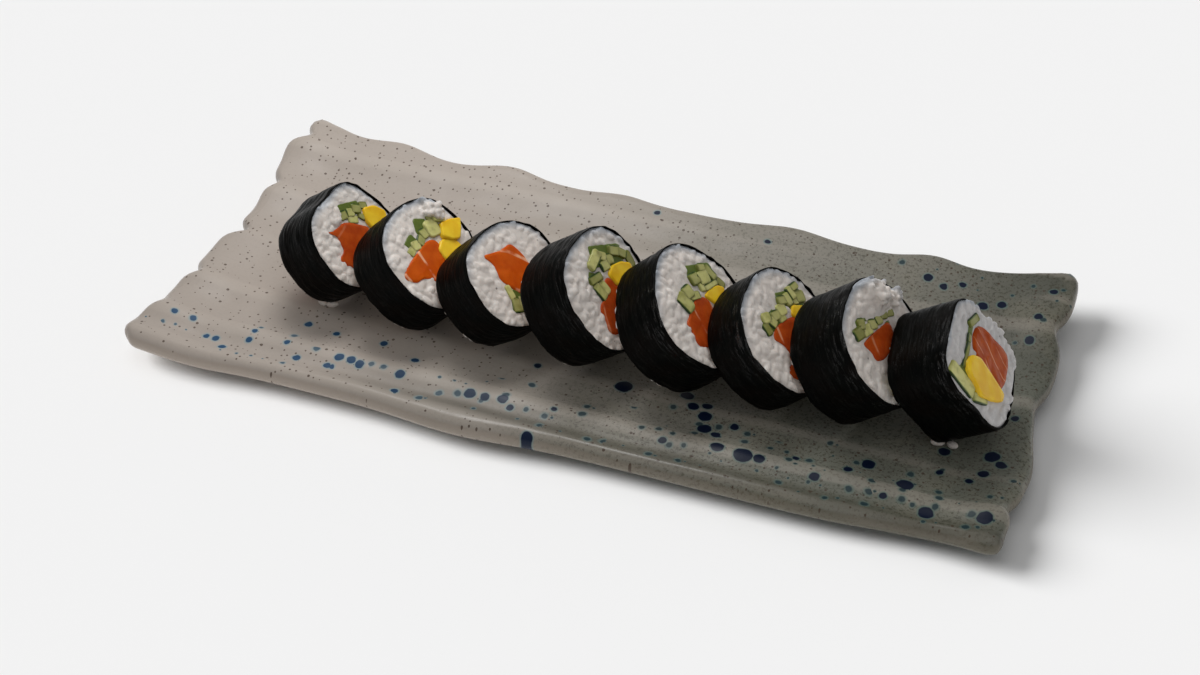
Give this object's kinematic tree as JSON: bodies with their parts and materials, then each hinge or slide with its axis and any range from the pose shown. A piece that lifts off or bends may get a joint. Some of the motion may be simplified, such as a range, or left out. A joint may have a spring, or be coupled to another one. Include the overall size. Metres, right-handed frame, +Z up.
{
  "type": "maki sushi roll platter",
  "caption": "Long fluted stoneware plate with a row of thick maki slices leaning on each other, wrapped in seaweed with rice, salmon, cucumber and yellow strips.",
  "frame": {"origin": "middle of the plate's outline, on the flat foot it stands on", "axes": "+X along the row, from the slice at the far end to the end piece; +Z up; the front edge, nearer the row, faces -Y"},
  "size_m": [0.3473, 0.163, 0.062],
  "materials": {
    "plate": "glossy grey-beige glaze with iron specks and small blue spots",
    "nori": "moist, near-black seaweed with fine wrinkles",
    "rice": "moist, slightly translucent cooked grains",
    "salmon": "moist raw salmon with paler lines of fat",
    "cucumber": "wet pale flesh with dark green skin on one side",
    "yellow_strip": "wet, smooth and slightly translucent"
  },
  "bodies": {
    "root": {"plate": "plate", "roll_1_nori": "nori", "roll_1_rice": "rice", "roll_1_salmon": "salmon", "roll_1_cucumber": "cucumber", "roll_1_yellow_strip": "yellow_strip", "roll_2_nori": "nori", "roll_2_rice": "rice", "roll_2_salmon": "salmon", "roll_2_cucumber": "cucumber", "roll_2_cucumber_strip": "cucumber", "roll_2_yellow_strip_upper": "yellow_strip", "roll_2_yellow_strip_lower": "yellow_strip", "roll_3_nori": "nori", "roll_3_rice": "rice", "roll_3_salmon": "salmon", "roll_3_cucumber": "cucumber", "roll_4_nori": "nori", "roll_4_rice": "rice", "roll_4_salmon": "salmon", "roll_4_cucumber": "cucumber", "roll_4_cucumber_strip": "cucumber", "roll_4_yellow_strip": "yellow_strip", "roll_5_nori": "nori", "roll_5_rice": "rice", "roll_5_salmon": "salmon", "roll_5_cucumber": "cucumber", "roll_5_cucumber_strip": "cucumber", "roll_5_yellow_strip": "yellow_strip", "roll_6_nori": "nori", "roll_6_rice": "rice", "roll_6_salmon": "salmon", "roll_6_cucumber": "cucumber", "roll_6_cucumber_strip": "cucumber", "roll_6_yellow_strip": "yellow_strip", "roll_7_nori": "nori", "roll_7_rice": "rice", "roll_7_salmon": "salmon", "roll_7_cucumber": "cucumber", "roll_8_nori": "nori", "roll_8_rice": "rice", "roll_8_salmon": "salmon", "roll_8_yellow_strip": "yellow_strip", "roll_8_cucumber": "cucumber", "roll_8_cucumber_strip": "cucumber"}
  },
  "joints": []
}
